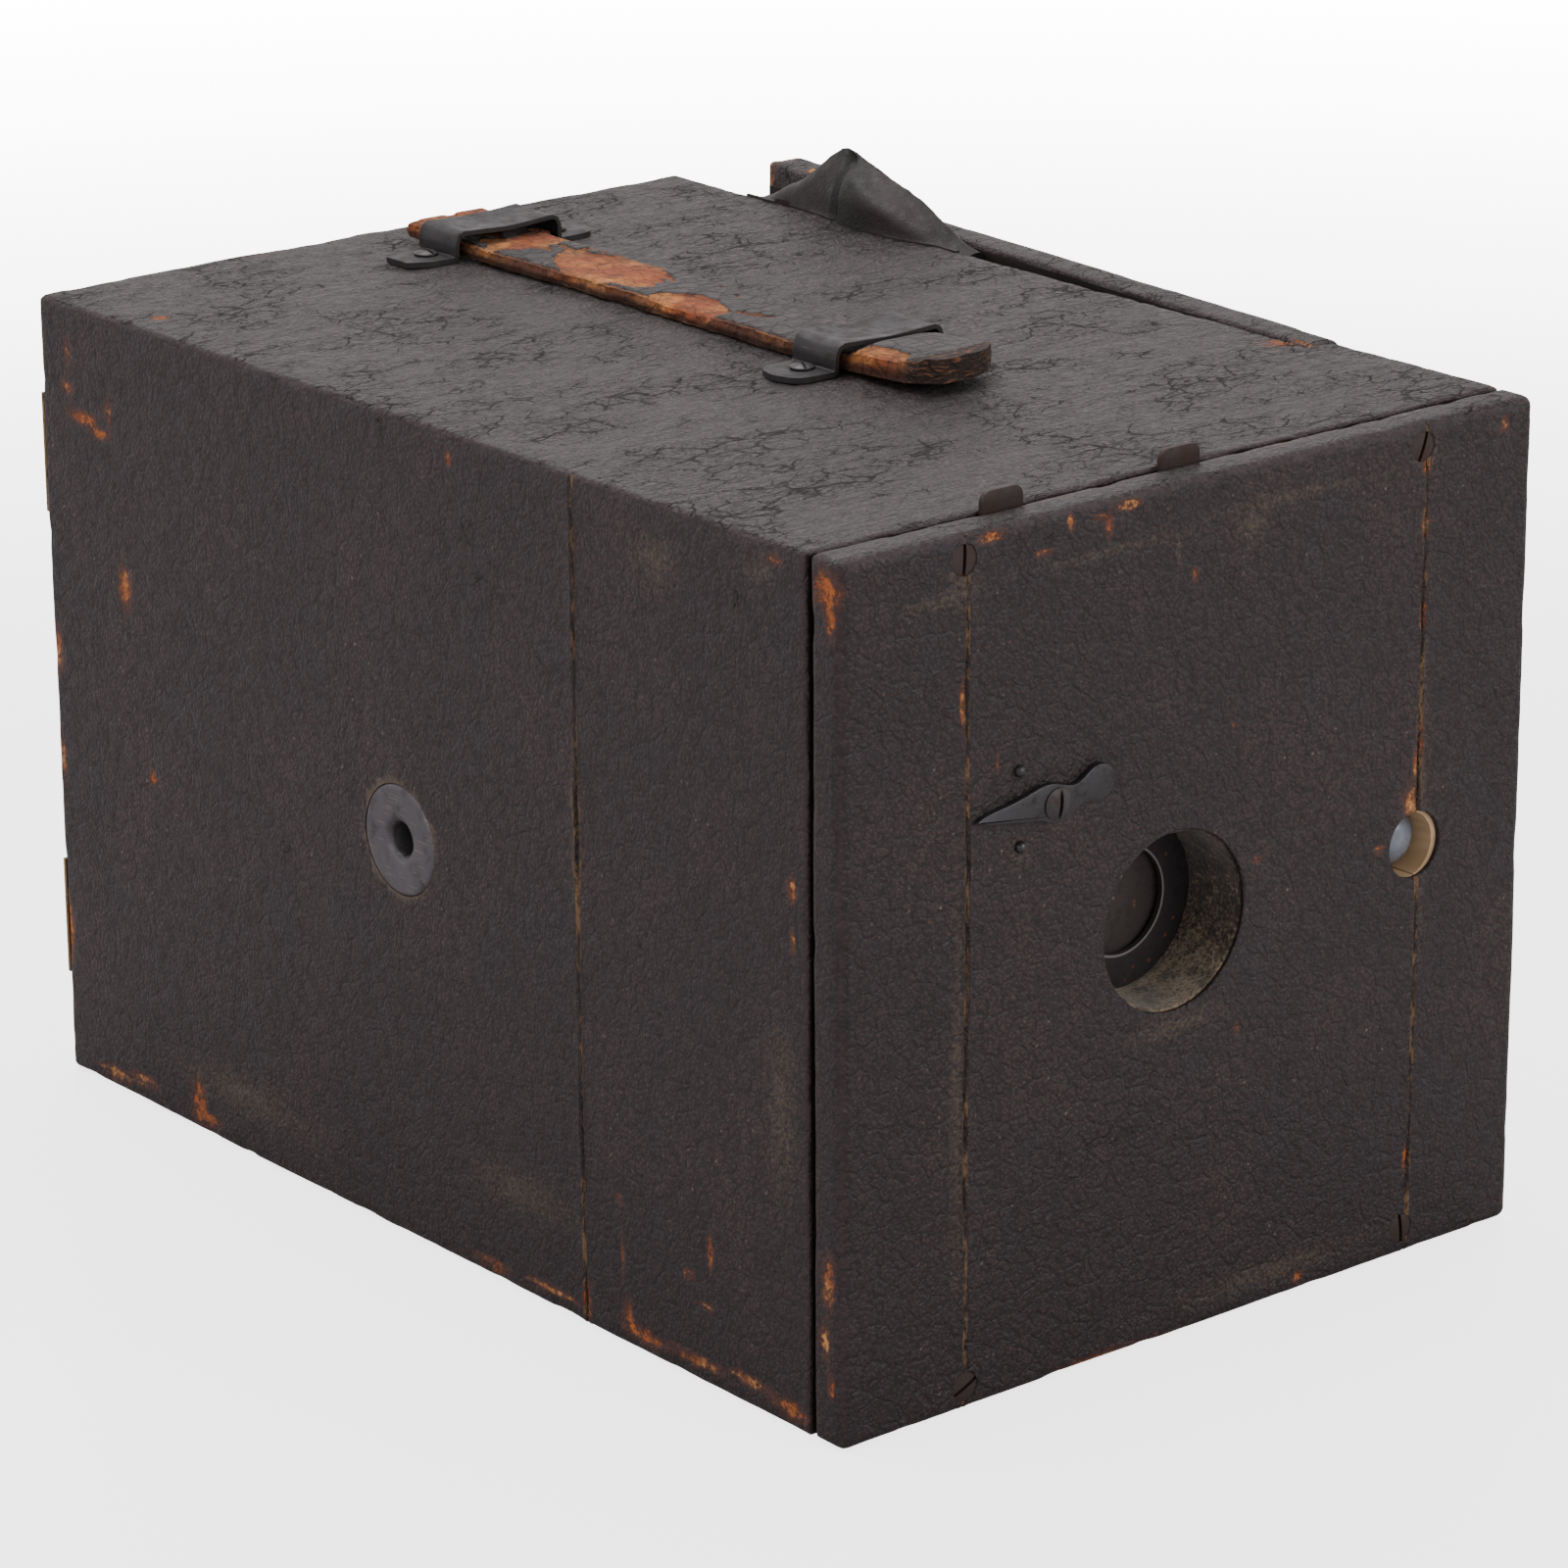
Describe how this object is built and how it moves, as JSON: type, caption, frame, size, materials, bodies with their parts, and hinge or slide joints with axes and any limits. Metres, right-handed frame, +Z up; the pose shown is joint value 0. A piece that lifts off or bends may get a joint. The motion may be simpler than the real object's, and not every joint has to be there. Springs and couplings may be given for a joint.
{
  "type": "view camera",
  "caption": "Leather-covered wooden box hand camera for 4 x 5 plates, with stop selector, shutter levers, side bag lid, rear door, tripod bush and torn strap.",
  "frame": {"origin": "middle of the camera's base, on the plane that it stands on", "axes": "+Z up, the lens looks along -Y, the tripod bush faces -X, the finder window and bag lid face +X"},
  "size_m": [0.176, 0.2477, 0.174],
  "materials": {
    "black_leather": "satin",
    "bag_leather": "satin",
    "strap_leather": "worn",
    "board_wood": "bare",
    "blackened_wood": "matte",
    "blackened_steel": "satin",
    "aged_brass": "aged",
    "grey_bronze": "aged",
    "spring_steel": "satin",
    "black_tin": "satin",
    "optical_glass": "polished",
    "ground_glass": "ground",
    "mirror_glass": "polished"
  },
  "bodies": {
    "camera_body": {"base_board": "board_wood", "top_board": "board_wood", "left_board_front": "board_wood", "left_board_rear": "board_wood", "finder_side_block": "board_wood", "bag_side_board": "board_wood", "body_leather": "black_leather", "panel_centre": "board_wood", "panel_cleat_left": "board_wood", "panel_cleat_right": "board_wood", "panel_leather": "black_leather", "panel_screws": "blackened_steel", "panel_washers": "strap_leather", "lens_collar": "board_wood", "shutter_board": "blackened_wood", "shutter_cover": "blackened_steel", "cover_posts": "aged_brass", "blade_stud": "aged_brass", "blade_spring": "spring_steel", "lever_studs": "aged_brass", "stop_pins": "blackened_steel", "lens_flange": "aged_brass", "flange_screws": "aged_brass", "lens_barrel": "aged_brass", "front_lens": "optical_glass", "rear_lens": "optical_glass", "lens_rings": "blackened_steel", "finder_box": "blackened_wood", "finder_lens": "optical_glass", "finder_mirror": "mirror_glass", "finder_glass": "ground_glass", "magazine_gate": "blackened_wood", "magazine_guides": "blackened_wood", "plate_sheaths": "black_tin", "glass_plates": "ground_glass", "body_hinge_leaves": "aged_brass", "hinge_pins": "aged_brass", "hinge_screws": "aged_brass", "changing_bag": "bag_leather", "tripod_bush": "grey_bronze", "strap": "strap_leather", "strap_loops": "blackened_steel", "loop_screws": "blackened_steel"},
    "bag_lid": {"lid_board": "board_wood", "lid_leather": "black_leather", "lid_hinge_leaves": "aged_brass"},
    "rear_door": {"rear_door": "board_wood", "door_leather": "black_leather", "door_hinge_leaves": "aged_brass", "pressure_springs": "spring_steel"},
    "turn_button": {"turn_button": "aged_brass"},
    "stop_selector": {"stop_selector": "blackened_steel", "selector_spindle": "blackened_steel", "stop_plate": "blackened_steel"},
    "setting_lever": {"setting_lever": "blackened_steel"},
    "release_lever": {"release_lever": "blackened_steel"},
    "shutter_blade": {"shutter_blade": "blackened_steel"},
    "pressure_plate": {"pressure_plate": "blackened_wood"}
  },
  "joints": [
    {"name": "lid_hinge", "type": "hinge", "parent": "camera_body", "child": "bag_lid", "pos_m": [0.0852, -0.0697, 0.08], "axis": [0, 0, -1], "range_deg": [0, 96]},
    {"name": "rear_door_hinge", "type": "hinge", "parent": "camera_body", "child": "rear_door", "pos_m": [-0.07265, 0.1226, 0.08], "axis": [0, 0, 1], "range_deg": [0, 110]},
    {"name": "turn_button_pivot", "type": "hinge", "parent": "camera_body", "child": "turn_button", "pos_m": [0.0712, 0.122, 0.0796], "axis": [0, 1, 0], "range_deg": [0, 90]},
    {"name": "stop_selector_pivot", "type": "hinge", "parent": "camera_body", "child": "stop_selector", "pos_m": [-0.0343, -0.121, 0.1082], "axis": [0, -1, 0], "range_deg": [-24, 24]},
    {"name": "setting_lever_pivot", "type": "hinge", "parent": "camera_body", "child": "setting_lever", "pos_m": [0.0016, -0.113, 0.126], "axis": [0, -1, 0], "range_deg": [0, 17], "stiffness_Nm_per_rad": 0.05, "springref_deg": -28.65},
    {"name": "shutter_blade_pivot", "type": "hinge", "parent": "camera_body", "child": "shutter_blade", "pos_m": [0.0268, -0.105, 0.0796], "axis": [0, -1, 0], "range_deg": [0, 80], "deforming": ["blade_spring"]},
    {"name": "release_lever_pivot", "type": "hinge", "parent": "camera_body", "child": "release_lever", "pos_m": [-0.0393, -0.113, 0.126], "axis": [0, -1, 0], "range_deg": [0, 13], "stiffness_Nm_per_rad": 0.02, "springref_deg": -17.19},
    {"name": "pressure_slide", "type": "slide", "parent": "camera_body", "child": "pressure_plate", "axis": [0, 1, 0], "range_m": [0, 0.018], "stiffness_N_per_m": 80, "springref_m": -0.01, "deforming": ["pressure_springs"]}
  ],
  "couplings": [
    {"joint": "shutter_blade_pivot", "follows": "setting_lever_pivot", "ratio": 4.7}
  ]
}
